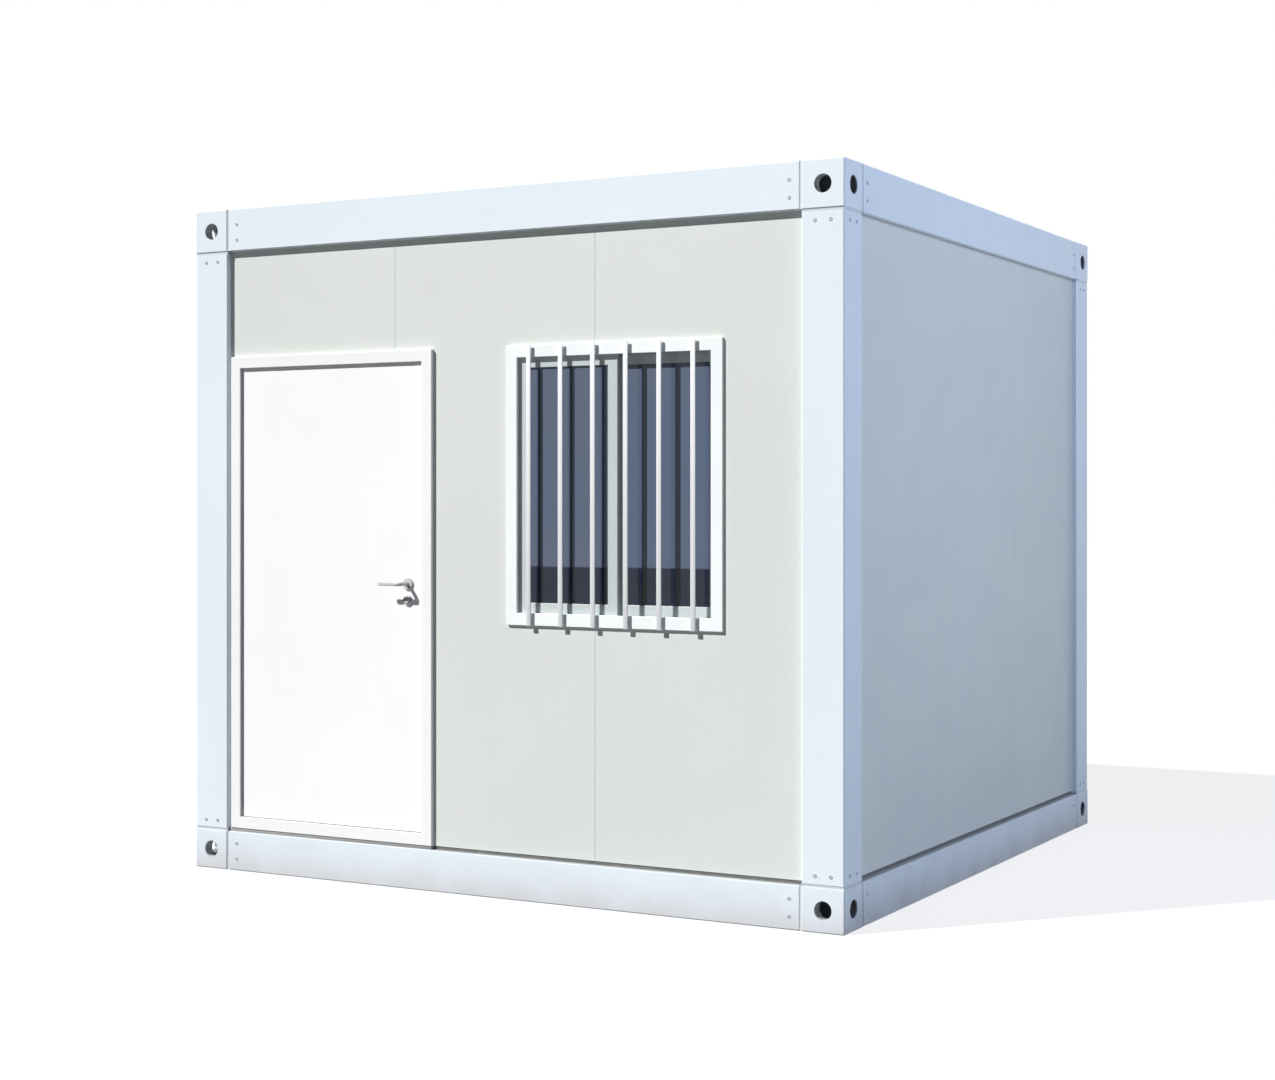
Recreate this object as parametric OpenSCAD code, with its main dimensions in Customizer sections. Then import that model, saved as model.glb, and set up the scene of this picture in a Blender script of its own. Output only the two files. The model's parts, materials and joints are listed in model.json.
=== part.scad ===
// Modular house: a bolted steel frame with corner blocks, insulated wall panels,
// one door and one sliding window. Units are millimetres.
// X runs right along the front, Y runs into the house and Z runs up.
// The origin is on the ground under the middle of the frame.

/* [House] */
// Width over the corner posts
house_w = 3000; // [2900:10:6000]
// Depth over the corner posts
house_d = 3000; // [2400:10:6000]
// Height from the ground to the top of the roof frame
house_h = 2800; // [2600:10:3400]

/* [Steel frame] */
// Face width of the posts and corner blocks
post_w = 170; // [150:1:220]
// Height of the roof beams and roof blocks
roof_beam_h = 180; // [170:1:240]
// Height of the base beams and base blocks
base_beam_h = 165; // [140:1:220]
// Width of the beam flanges
beam_w = 120; // [100:1:150]
// Thickness of the folded steel in posts and beams
steel_t = 5; // [4:0.5:8]
// Chamfer on the outer edges of the frame
edge_chamfer = 4; // [1:0.5:8]
// Thickness of the end plates on posts and beams
end_plate_t = 10; // [5:1:15]
// Depth of the end plates behind the faces of posts and beams
end_plate_set = 2; // [1:0.5:3.5]

/* [Corner blocks] */
// Distance that the blocks stand proud of posts and beams
block_proud = 2; // [0:0.5:8]
// Radius of the lifting bores
bore_r = 34.5; // [20:0.5:36]
// Length of the lifting bores, the thickness of the outer walls
bore_wall = 45; // [20:1:50]
// Thickness of the walls on the room side of a block
block_inner_wall = 10; // [6:1:16]
// Thickness of the top and bottom of a block
block_cap = 12; // [8:1:20]

/* [Wall panels] */
// Thickness of the insulated panels
wall_t = 50; // [40:1:70]
// Depth of the panel face behind the faces of posts and beams
wall_recess = 25.5; // [18:0.5:40]
// Cover width of a full panel
panel_w = 935; // [800:5:1100]
// Right joint of the front middle panel, from the middle of the house
front_joint_x = 452; // [400:1:480]
// Gap between neighbouring panels
panel_gap = 0.4; // [0.2:0.1:2]
// Chamfer along the edges of the panels
panel_chamfer = 1; // [1:0.5:5]
// Height of the dark seal strips under the walls
seal_h = 14; // [6:1:30]
// Depth of the seal strips behind the panel face
seal_set = 3; // [0:1:10]

/* [Floor] */
// Thickness of the floor board
floor_t = 15; // [10:1:30]
// Width of a floor joist
joist_w = 50; // [40:1:80]
// Height of a floor joist
joist_h = 100; // [60:1:130]
// Distance from joist to joist
joist_pitch = 500; // [300:10:600]
// Clearance round the floor and the ceiling
fit_gap = 0.5; // [0.2:0.1:0.9]

/* [Roof] */
// Thickness of the ceiling
ceiling_t = 12; // [8:1:30]
// Width of a roof purlin
purlin_w = 50; // [40:1:80]
// Height of a roof purlin
purlin_h = 140; // [80:1:140]
// Distance from purlin to purlin
purlin_pitch = 420; // [300:10:600]
// Gap between the ends of purlins or roof sheet and the beam webs
roof_end_gap = 10; // [5:1:30]
// Wall of the joist and purlin tubes
tube_t = 3; // [2:0.5:6]
// Thickness of the roof sheet
sheet_t = 3; // [2:0.5:4]
// Height of the ribs in the roof sheet
rib_h = 22; // [10:1:24]
// Distance from rib to rib
rib_pitch = 250; // [150:10:400]
// Width of a rib at its foot
rib_foot = 80; // [60:1:110]
// Width of a rib at its crest
rib_crest = 40; // [20:1:50]

/* [Door and window frames] */
// Distance from the roof beams down to the tops of both frames
head_drop = 448; // [300:1:600]
// Face width of both frames
frame_face = 48; // [40:1:70]
// Overlap of the frames on the wall panels
frame_overlap = 12; // [5:1:18]

/* [Door] */
// Gap between the left post and the face of the door frame
door_post_gap = 13; // [5:1:40]
// Width over the door frame
door_frame_w = 1022; // [850:1:1040]
// Distance that the door frame stands proud of the panels
door_proud = 17; // [10:1:17]
// Thickness of the stop lip in front of the leaf
door_lip_t = 9; // [4:1:10]
// Width of the rebate behind the stop lip
door_rebate = 18; // [12:1:22]
// Clearance round the edge of the leaf
door_gap = 7; // [7:0.5:9]
// Clearance between the stop lip and the leaf
door_stop_gap = 5; // [5:0.5:8]
// Distance from the inner face of the leaf to the inner face of the wall
leaf_inset = 3; // [1:0.5:3]

/* [Door hinges] */
// Radius of the hinge pins
pin_r = 4; // [3:0.5:5]
// Running clearance between pin and knuckle
pin_clear = 0.05; // [0.02:0.01:0.08]
// Outer radius of the hinge knuckles
knuckle_r = 7; // [6.5:0.5:8]
// Length of a hinge
hinge_len = 100; // [80:1:140]
// Part of that length taken by the knuckle on the leaf
hinge_leaf_len = 36; // [30:1:60]
// Gap between the knuckles along the pin
knuckle_gap = 0.5; // [0.2:0.1:1]
// Width of a hinge plate
hinge_plate_w = 30; // [20:1:32]
// Thickness of a hinge plate
hinge_plate_t = 3; // [2:0.5:4]
// Distance from the ends of the leaf to the middle of the outer hinges
hinge_end = 220; // [150:5:400]

/* [Door handle] */
// Height of the spindle above the ground
handle_z = 1228; // [1000:1:1400]
// Distance from the edge of the leaf to the spindle
handle_backset = 84; // [50:1:100]
// Radius of the spindle
spindle_r = 8; // [6:0.5:10]
// Running clearance between spindle and hole
spindle_clear = 0.05; // [0.02:0.01:0.08]
// Distance from the leaf to the middle of the lever
lever_reach = 61; // [35:1:75]
// Radius of the lever
lever_r = 8; // [6:0.5:10]
// Length of the lever from the spindle to its tip
lever_len = 106; // [90:1:160]
// Radius of the rose round the spindle
rose_r = 25; // [20:1:32]
// Thickness of both roses
rose_t = 8; // [4:1:12]
// Distance from the spindle down to the lock cylinder
lock_drop = 67; // [60:1:95]
// Radius of the rose round the lock cylinder
lock_rose_r = 22; // [18:1:28]
// Radius of the lock cylinder
lock_r = 11; // [8:0.5:14]
// Distance that the lock cylinder stands out of its rose
lock_out = 5; // [2:1:10]

/* [Window] */
// Middle of the window from the middle of the house
window_x = 530; // [500:1:560]
// Width of the clear opening
window_w = 850; // [700:1:900]
// Height of the clear opening
window_h = 1000; // [600:1:1200]
// Distance that the trim stands proud of the panels
window_proud = 12; // [5:1:17]
// Distance that the frame stands into the room
window_inner_proud = 12; // [8:1:20]
// Depth of the sash track into the frame
track_d = 20; // [12:1:22]
// Distance from the panel face back to the front of the track
track_set = 4; // [2:1:7]
// Thickness of a sash
sash_t = 20; // [16:0.5:20]
// Running gap between the sashes and along the tracks
sash_gap = 2; // [1:0.5:3]
// Width of a sash stile
sash_stile = 42; // [34:1:50]
// Visible height of a sash rail
sash_rail = 40; // [30:1:50]
// Lap of each sash past the middle of the window
sash_lap = 19; // [18:1:30]
// Depth of the left sash in its side track
left_sash_in = 2; // [1:0.5:8]
// Depth of the right sash in its side track
right_sash_in = 18; // [2:0.5:18]
// Clearance over the sashes
sash_top_clear = 4; // [2:0.5:8]
// Thickness of the panes
glass_t = 5; // [4:0.5:8]
// Depth of the panes in the sash bars
glass_in = 8; // [5:1:12]
// Clearance at the edges of the panes
glass_edge_gap = 0.5; // [0.2:0.1:0.9]

/* [Hidden] */
$fn = 64;

// Overshoot of cutting shapes past the faces that they cut
cut = 10;

// Levels of the frame
roof_z0 = house_h - roof_beam_h;
wall_z0 = base_beam_h + seal_h;
wall_z1 = roof_z0;
floor_z1 = base_beam_h + floor_t;
purlin_z0 = roof_z0 + steel_t;
sheet_z0 = purlin_z0 + purlin_h;
head_z = roof_z0 - head_drop;

// Depths from the block faces to the panels, the inner flange edges and the roof ends
wall_set = block_proud + wall_recess;
flange_set = block_proud + beam_w;
roof_set = block_proud + steel_t + roof_end_gap;

// Inner faces of the posts
post_x = house_w / 2 - post_w;
post_y = house_d / 2 - post_w;

// Planes of the front wall
wall_y0 = -house_d / 2 + wall_set;
wall_y1 = wall_y0 + wall_t;

// Joints between the front panels
front_joint_left = front_joint_x - panel_w;

// Door frame
door_x0 = -post_x + door_post_gap;
door_x1 = door_x0 + door_frame_w;
door_z0 = wall_z0;
door_z1 = head_z;
door_y0 = wall_y0 - door_proud;
door_lip_y = door_y0 + door_lip_t;
door_cut_x1 = door_x1 - frame_overlap;
door_cut_z1 = door_z1 - frame_overlap;

// Door leaf
leaf_edge = frame_face - door_rebate + door_gap;
leaf_x0 = door_x0 + leaf_edge;
leaf_x1 = door_x1 - leaf_edge;
leaf_z0 = door_z0 + leaf_edge;
leaf_z1 = door_z1 - leaf_edge;
leaf_y0 = door_lip_y + door_stop_gap;
leaf_y1 = wall_y1 - leaf_inset;

// Hinge pins, in the middle of the gap beside the leaf and clear of the wall
hinge_x = leaf_x0 - door_gap / 2;
hinge_y = wall_y1 + knuckle_r - knuckle_gap;
hinge_z = [leaf_z0 + hinge_end, (leaf_z0 + leaf_z1) / 2, leaf_z1 - hinge_end];

// Door handle
handle_x = leaf_x1 - handle_backset;
lock_z = handle_z - lock_drop;

// Window
window_x0 = window_x - window_w / 2;
window_x1 = window_x + window_w / 2;
window_z1 = head_z - frame_face;
window_z0 = window_z1 - window_h;
window_y0 = wall_y0 - window_proud;
window_y1 = wall_y1 + window_inner_proud;
window_body = frame_face - frame_overlap;
track_y0 = wall_y0 + track_set;
track_y1 = track_y0 + 2 * sash_t + 3 * sash_gap;
left_sash_y = track_y0 + sash_gap;
right_sash_y = left_sash_y + sash_t + sash_gap;
sash_w = window_w / 2 + sash_lap;
sash_z0 = window_z0 - track_d;
sash_z1 = window_z1 + track_d - sash_top_clear;
left_sash_x = window_x0 - left_sash_in;
right_sash_x = window_x1 + right_sash_in - sash_w;
glass_x0 = sash_stile - glass_in + glass_edge_gap;
glass_w = sash_w - 2 * glass_x0;
glass_z0 = window_z0 + sash_rail - glass_in + glass_edge_gap;
glass_z1 = window_z1 - sash_rail + glass_in - glass_edge_gap;
glass_back = (sash_t - glass_t) / 2;

// Colours of the finishes
frame_paint = [0.90, 0.94, 0.98];
panel_paint = [0.85, 0.87, 0.86];
door_paint = [0.96, 0.96, 0.98];
bare_steel = [0.62, 0.64, 0.66];
seal_black = [0.12, 0.12, 0.13];
floor_grey = [0.55, 0.53, 0.50];
pane_blue = [0.42, 0.46, 0.55, 0.6];

// Turn that brings a shape drawn on the front to one side of the house
function side_turn(side) = side == "front" ? 0 : side == "right" ? 90 : side == "rear" ? 180 : 270;

// Width and depth of the house as seen from one of its sides
function side_run(side) = side == "front" || side == "rear" ? house_w : house_d;
function side_reach(side) = side == "front" || side == "rear" ? house_d : house_w;

// Box between two opposite corners
module box(low, high) {
    translate(low)
        cube(high - low);
}

// Rectangle with its four corners cut off
module cut_corner_rect(w, h, c) {
    polygon([[c, 0], [w - c, 0], [w, c], [w, h - c], [w - c, h], [c, h], [0, h - c], [0, c]]);
}

// Box from the origin with all its edges chamfered
module chamfered_box(w, d, h, c) {
    intersection() {
        linear_extrude(h)
            cut_corner_rect(w, d, c);
        translate([0, d, 0])
            rotate([90, 0, 0])
                linear_extrude(d)
                    cut_corner_rect(w, h, c);
        rotate([90, 0, 90])
            linear_extrude(w)
                cut_corner_rect(d, h, c);
    }
}

// Places a shape drawn inward from the outer corner at one corner of the house
module at_corner(right, rear) {
    mirror([right ? 1 : 0, 0, 0])
        mirror([0, rear ? 1 : 0, 0])
            translate([-house_w / 2, -house_d / 2, 0])
                children();
}

// Turns a shape drawn on the front to one side of the house
module at_side(side) {
    rotate([0, 0, side_turn(side)])
        children();
}

// Tube along Y with its middle on the Z axis and its foot at z0
module cross_tube(w, h, length, z0) {
    translate([-w / 2, -length / 2, z0])
        difference() {
            cube([w, length, h]);
            translate([tube_t, -cut, tube_t])
                cube([w - 2 * tube_t, length + 2 * cut, h - 2 * tube_t]);
        }
}

// Positions of a centred row that stays inside a half span
function centred_row(pitch, half_span) =
    let (n = floor(half_span / pitch))
    [for (i = [-n:n]) i * pitch];

// Hollow block with one lifting bore in each outer face
module corner_block(h) {
    hollow = post_w - bore_wall - block_inner_wall;
    color(frame_paint)
        difference() {
            chamfered_box(post_w, post_w, h, edge_chamfer);
            translate([bore_wall, bore_wall, block_cap])
                cube([hollow, hollow, h - 2 * block_cap]);
            translate([post_w / 2, -cut, h / 2])
                rotate([-90, 0, 0])
                    cylinder(r = bore_r, h = bore_wall + 2 * cut);
            translate([-cut, post_w / 2, h / 2])
                rotate([0, 90, 0])
                    cylinder(r = bore_r, h = bore_wall + 2 * cut);
        }
}

module base_block(right, rear) {
    at_corner(right, rear)
        corner_block(base_beam_h);
}

module roof_block(right, rear) {
    at_corner(right, rear)
        translate([0, 0, roof_z0])
            corner_block(roof_beam_h);
}

// Square hollow post with an end plate on its base block and on its roof block
module post(right, rear) {
    length = roof_z0 - base_beam_h;
    w = post_w - block_proud;
    plate_w = w - end_plate_set;
    color(frame_paint)
        at_corner(right, rear)
            translate([block_proud, block_proud, base_beam_h]) {
                translate([0, 0, end_plate_t])
                    linear_extrude(length - 2 * end_plate_t)
                        difference() {
                            cut_corner_rect(w, w, edge_chamfer);
                            translate([steel_t, steel_t])
                                square(w - 2 * steel_t);
                        }
                for (z = [0, length - end_plate_t])
                    translate([end_plate_set, end_plate_set, z])
                        cube([plate_w, plate_w, end_plate_t]);
            }
}

// Channel section with its web outside and both flanges turned in
module beam_section(h) {
    polygon([
        [edge_chamfer, 0], [beam_w, 0], [beam_w, steel_t], [steel_t, steel_t],
        [steel_t, h - steel_t], [beam_w, h - steel_t], [beam_w, h],
        [edge_chamfer, h], [0, h - edge_chamfer], [0, edge_chamfer]
    ]);
}

// Beam between two corner blocks on one side, with an end plate on each block
module beam(side, h, z0) {
    length = side_run(side) - 2 * post_w;
    color(frame_paint)
        at_side(side)
            translate([-length / 2, block_proud - side_reach(side) / 2, z0]) {
                translate([end_plate_t, 0, 0])
                    rotate([90, 0, 90])
                        linear_extrude(length - 2 * end_plate_t)
                            beam_section(h);
                for (x = [0, length - end_plate_t])
                    translate([x, end_plate_set, end_plate_set])
                        cube([end_plate_t, beam_w - end_plate_set, h - 2 * end_plate_set]);
            }
}

module base_beam(side) {
    beam(side, base_beam_h, 0);
}

module roof_beam(side) {
    beam(side, roof_beam_h, roof_z0);
}

// Upright panel from x0 to x1 on one side, with its upright edges chamfered
module panel(side, x0, x1) {
    y0 = -side_reach(side) / 2 + wall_set;
    translate([x0, y0, wall_z0])
        linear_extrude(wall_z1 - wall_z0)
            cut_corner_rect(x1 - x0, wall_t, panel_chamfer);
}

// Closed wall of three panels between two posts
module plain_wall(side) {
    half = side_run(side) / 2 - post_w;
    joint = panel_w / 2;
    color(panel_paint)
        at_side(side) {
            panel(side, -half, -joint - panel_gap / 2);
            panel(side, -joint + panel_gap / 2, joint - panel_gap / 2);
            panel(side, joint + panel_gap / 2, half);
        }
}

// Space that the door frame takes out of the front panels
module door_cut() {
    box([-post_x - cut, wall_y0 - cut, wall_z0 - cut], [door_cut_x1, wall_y1 + cut, door_cut_z1]);
}

// Space that the window frame takes out of the front panels
module window_cut() {
    box([window_x0 - window_body, wall_y0 - cut, window_z0 - window_body],
        [window_x1 + window_body, wall_y1 + cut, window_z1 + window_body]);
}

module front_panel_over_door() {
    color(panel_paint)
        difference() {
            panel("front", -post_x, front_joint_left - panel_gap / 2);
            door_cut();
        }
}

module front_panel_middle() {
    color(panel_paint)
        difference() {
            panel("front", front_joint_left + panel_gap / 2, front_joint_x - panel_gap / 2);
            door_cut();
            window_cut();
        }
}

module front_panel_right() {
    color(panel_paint)
        difference() {
            panel("front", front_joint_x + panel_gap / 2, post_x);
            window_cut();
        }
}

// Dark strips that carry the panels and the door frame on the base beams
module wall_base_seals() {
    color(seal_black)
        for (side = ["front", "right", "rear", "left"]) {
            half = side_run(side) / 2 - post_w;
            y0 = -side_reach(side) / 2 + wall_set;
            at_side(side)
                box([-half, y0 + seal_set, base_beam_h], [half, y0 + wall_t, wall_z0]);
        }
}

// Level plate with its corners cut out round the posts and blocks
module notched_plate(half_x, half_y, z0, z1) {
    difference() {
        box([-half_x, -half_y, z0], [half_x, half_y, z1]);
        corner_notches(post_x - fit_gap, post_y - fit_gap, z0, z1);
    }
}

// Spaces at the four corners, cut from the plates that meet blocks, posts and end plates
module corner_notches(inner_x, inner_y, z0, z1) {
    for (right = [0, 1], rear = [0, 1])
        mirror([right, 0, 0])
            mirror([0, rear, 0])
                box([-house_w, -house_d, z0 - cut], [-inner_x, -inner_y, z1 + cut]);
}

module floor_board() {
    inset = wall_set + wall_t + fit_gap;
    color(floor_grey)
        notched_plate(house_w / 2 - inset, house_d / 2 - inset, base_beam_h, floor_z1);
}

// Tubes under the floor from the front base beam to the rear one
module floor_joists() {
    length = house_d - 2 * flange_set;
    color(bare_steel)
        for (x = centred_row(joist_pitch, post_x - joist_w))
            translate([x, 0, 0])
                cross_tube(joist_w, joist_h, length, base_beam_h - joist_h);
}

// Boards under the purlins, between the flanges of the roof beams
module ceiling() {
    inset = flange_set + fit_gap;
    color(door_paint)
        notched_plate(house_w / 2 - inset, house_d / 2 - inset, purlin_z0 - ceiling_t, purlin_z0);
}

// Tubes across the ribs of the roof sheet, on the lower flanges of the left and right roof beams
module roof_purlins() {
    length = house_w - 2 * roof_set;
    color(bare_steel)
        for (y = centred_row(purlin_pitch, post_y - purlin_w))
            translate([0, y, 0])
                rotate([0, 0, 90])
                    cross_tube(purlin_w, purlin_h, length, purlin_z0);
}

// Outline points of the ribbed sheet along X, lifted by dz
function rib_points(xs, half, dz) = concat(
    [[-half, dz]],
    [for (x = xs) each [
        [x - rib_foot / 2, dz], [x - rib_crest / 2, rib_h + dz],
        [x + rib_crest / 2, rib_h + dz], [x + rib_foot / 2, dz]
    ]],
    [[half, dz]]
);

function reversed(list) = [for (i = [len(list) - 1:-1:0]) list[i]];

// Ribbed sheet on the purlins, tucked under the upper flanges of the roof beams
module roof_sheet() {
    half_x = house_w / 2 - roof_set;
    half_y = house_d / 2 - roof_set;
    plate_gap = end_plate_t + fit_gap;
    flange_gap = flange_set + fit_gap;
    xs = centred_row(rib_pitch, post_x - rib_foot);
    color(frame_paint)
        difference() {
            translate([0, half_y, sheet_z0])
                rotate([90, 0, 0])
                    linear_extrude(2 * half_y)
                        polygon(concat(rib_points(xs, half_x, 0), reversed(rib_points(xs, half_x, sheet_t))));
            corner_notches(post_x - fit_gap, post_y - fit_gap, sheet_z0, house_h);
            corner_notches(post_x - plate_gap, house_d / 2 - flange_gap, sheet_z0, house_h);
            corner_notches(house_w / 2 - flange_gap, post_y - plate_gap, sheet_z0, house_h);
        }
}

// Four sided frame with a stop lip in front of the leaf and a rebate behind it
module door_frame() {
    lip = frame_face;
    rebate = frame_face - door_rebate;
    color(door_paint)
        difference() {
            union() {
                box([door_x0, door_y0, door_z0], [door_x1, wall_y0, door_z1]);
                box([-post_x, wall_y0, door_z0], [door_cut_x1, wall_y1, door_cut_z1]);
            }
            box([door_x0 + lip, door_y0 - cut, door_z0 + lip], [door_x1 - lip, wall_y1 + cut, door_z1 - lip]);
            box([door_x0 + rebate, door_lip_y, door_z0 + rebate],
                [door_x1 - rebate, wall_y1 + cut, door_z1 - rebate]);
        }
}

module door_leaf() {
    color(door_paint)
        difference() {
            box([leaf_x0, leaf_y0, leaf_z0], [leaf_x1, leaf_y1, leaf_z1]);
            translate([handle_x, leaf_y0 - cut, handle_z])
                rotate([-90, 0, 0])
                    cylinder(r = spindle_r + spindle_clear, h = leaf_y1 - leaf_y0 + 2 * cut);
        }
}

// Lever rose and lock rose on one face of the leaf, standing out along the local Z axis
module rose_pair() {
    difference() {
        cylinder(r = rose_r, h = rose_t);
        translate([0, 0, -cut])
            cylinder(r = spindle_r + spindle_clear, h = rose_t + 2 * cut);
    }
    translate([0, -lock_drop, 0]) {
        cylinder(r = lock_rose_r, h = rose_t);
        cylinder(r = lock_r, h = rose_t + lock_out);
    }
}

module door_roses() {
    color(bare_steel) {
        translate([handle_x, leaf_y0, handle_z])
            rotate([90, 0, 0])
                rose_pair();
        translate([handle_x, leaf_y1, handle_z])
            rotate([90, 0, 0])
                mirror([0, 0, 1])
                    rose_pair();
    }
}

// Lever that points to the hinges, with a round elbow and a round tip
module lever(y) {
    translate([handle_x, y, handle_z]) {
        sphere(r = lever_r);
        rotate([0, -90, 0])
            cylinder(r = lever_r, h = lever_len - lever_r);
        translate([lever_r - lever_len, 0, 0])
            sphere(r = lever_r);
    }
}

// Outer and inner lever on one spindle
module door_handle() {
    outer_y = leaf_y0 - lever_reach;
    inner_y = leaf_y1 + lever_reach;
    color(bare_steel) {
        translate([handle_x, outer_y, handle_z])
            rotate([-90, 0, 0])
                cylinder(r = spindle_r, h = inner_y - outer_y);
        lever(outer_y);
        lever(inner_y);
    }
}

// Knuckle or pin on one hinge, from z0 to z1 about the middle of the hinge
module hinge_round(z, r, z0, z1) {
    translate([hinge_x, hinge_y, z + z0])
        cylinder(r = r, h = z1 - z0);
}

// Fixed half of each hinge: two knuckles, the pin and a plate on the jamb
module door_hinge_frame_halves() {
    half = hinge_len / 2;
    inner = hinge_leaf_len / 2 + knuckle_gap;
    color(bare_steel)
        for (z = hinge_z) {
            hinge_round(z, pin_r, -half, half);
            for (flip = [0, 1])
                translate([0, 0, z])
                    mirror([0, 0, flip])
                        translate([0, 0, -z]) {
                            hinge_round(z, knuckle_r, inner, half);
                            box([hinge_x - hinge_plate_w, wall_y1, z + inner],
                                [hinge_x, wall_y1 + hinge_plate_t, z + half]);
                        }
        }
}

// Moving half of each hinge: one knuckle and a plate on the leaf
module door_hinge_leaf_halves() {
    half = hinge_leaf_len / 2;
    color(bare_steel)
        for (z = hinge_z)
            difference() {
                union() {
                    hinge_round(z, knuckle_r, -half, half);
                    box([hinge_x, leaf_y1, z - half],
                        [hinge_x + hinge_plate_w, leaf_y1 + leaf_inset + hinge_plate_t, z + half]);
                }
                hinge_round(z, pin_r + pin_clear, -half - cut, half + cut);
            }
}

// Window frame with a trim outside and one deep track for both sashes
module window_frame() {
    face = frame_face;
    color(door_paint)
        difference() {
            union() {
                box([window_x0 - face, window_y0, window_z0 - face],
                    [window_x1 + face, wall_y0, window_z1 + face]);
                box([window_x0 - window_body, wall_y0, window_z0 - window_body],
                    [window_x1 + window_body, window_y1, window_z1 + window_body]);
            }
            box([window_x0, window_y0 - cut, window_z0], [window_x1, window_y1 + cut, window_z1]);
            box([window_x0 - track_d, track_y0, window_z0 - track_d],
                [window_x1 + track_d, track_y1, window_z1 + track_d]);
        }
}

// Sash frame from its left edge and its front face, grooved for the pane
module sash(x, y) {
    groove_y = y + glass_back;
    color(door_paint)
        difference() {
            box([x, y, sash_z0], [x + sash_w, y + sash_t, sash_z1]);
            box([x + sash_stile, y - cut, window_z0 + sash_rail],
                [x + sash_w - sash_stile, y + sash_t + cut, window_z1 - sash_rail]);
            box([x + sash_stile - glass_in, groove_y, window_z0 + sash_rail - glass_in],
                [x + sash_w - sash_stile + glass_in, groove_y + glass_t, window_z1 - sash_rail + glass_in]);
        }
}

// Pane in the groove of a sash
module pane(x, y) {
    color(pane_blue)
        box([x + glass_x0, y + glass_back, glass_z0],
            [x + glass_x0 + glass_w, y + glass_back + glass_t, glass_z1]);
}

module window_sash_left() {
    sash(left_sash_x, left_sash_y);
}

module window_sash_right() {
    sash(right_sash_x, right_sash_y);
}

module window_glass_left() {
    pane(left_sash_x, left_sash_y);
}

module window_glass_right() {
    pane(right_sash_x, right_sash_y);
}

base_block(false, false);  // base_block_front_left
base_block(true, false);  // base_block_front_right
base_block(false, true);  // base_block_rear_left
base_block(true, true);  // base_block_rear_right
roof_block(false, false);  // roof_block_front_left
roof_block(true, false);  // roof_block_front_right
roof_block(false, true);  // roof_block_rear_left
roof_block(true, true);  // roof_block_rear_right
post(false, false);  // post_front_left
post(true, false);  // post_front_right
post(false, true);  // post_rear_left
post(true, true);  // post_rear_right
base_beam("front");  // base_beam_front
base_beam("right");  // base_beam_right
base_beam("rear");  // base_beam_rear
base_beam("left");  // base_beam_left
roof_beam("front");  // roof_beam_front
roof_beam("right");  // roof_beam_right
roof_beam("rear");  // roof_beam_rear
roof_beam("left");  // roof_beam_left
plain_wall("right");  // right_wall
plain_wall("rear");  // rear_wall
plain_wall("left");  // left_wall
front_panel_over_door();
front_panel_middle();
front_panel_right();
wall_base_seals();
floor_board();
floor_joists();
ceiling();
roof_purlins();
roof_sheet();
door_frame();
door_leaf();
door_roses();
door_handle();
door_hinge_frame_halves();
door_hinge_leaf_halves();
window_frame();
window_sash_left();
window_sash_right();
window_glass_left();
window_glass_right();
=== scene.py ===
"""Looks of the modular house: finishes, fasteners, window bars, door furniture, light and camera.

Lengths are in metres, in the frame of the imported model: X runs right along the front,
Y runs into the house and Z runs up.
"""

import json
import math

import bmesh
import bpy
from mathutils import Matrix, Vector


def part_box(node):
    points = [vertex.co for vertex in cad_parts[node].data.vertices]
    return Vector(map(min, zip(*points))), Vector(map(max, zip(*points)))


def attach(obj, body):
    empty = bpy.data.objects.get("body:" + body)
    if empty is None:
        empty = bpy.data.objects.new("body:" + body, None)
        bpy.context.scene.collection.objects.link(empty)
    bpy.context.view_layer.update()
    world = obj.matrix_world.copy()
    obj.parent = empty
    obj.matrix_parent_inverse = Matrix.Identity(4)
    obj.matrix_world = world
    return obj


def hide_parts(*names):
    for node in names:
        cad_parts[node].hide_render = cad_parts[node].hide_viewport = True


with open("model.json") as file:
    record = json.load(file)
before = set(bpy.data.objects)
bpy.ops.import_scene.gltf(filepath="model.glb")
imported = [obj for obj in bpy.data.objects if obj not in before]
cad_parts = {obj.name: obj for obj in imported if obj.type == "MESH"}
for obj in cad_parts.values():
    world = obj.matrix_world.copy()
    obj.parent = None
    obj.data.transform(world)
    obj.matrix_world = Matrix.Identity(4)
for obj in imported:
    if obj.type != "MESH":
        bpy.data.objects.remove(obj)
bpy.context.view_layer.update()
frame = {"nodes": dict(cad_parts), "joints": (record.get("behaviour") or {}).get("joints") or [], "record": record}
NODES = frame["nodes"]
MM = 0.001
# Points that lie closer than this are one
CLOSE = 0.005 * MM
MIRROR_CLOSE = 0.05 * MM
# Edges that turn by more degrees than this are sharp
SHARP_TURN = 35.0
LEVER_SHARP_TURN = 50.0

# Camera, fitted to the edges of the steel frame in the photograph
IMAGE_W = 1275
IMAGE_H = 1080
SENSOR_W = 36.0
FOCAL_PX = 2094.1
CENTRE_PX = (633.4, 502.1)
CAMERA_AT = (4.4537, -8.4544, 1.558)
CAMERA_TURN = 28.769
CAMERA_FAR = 300

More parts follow.
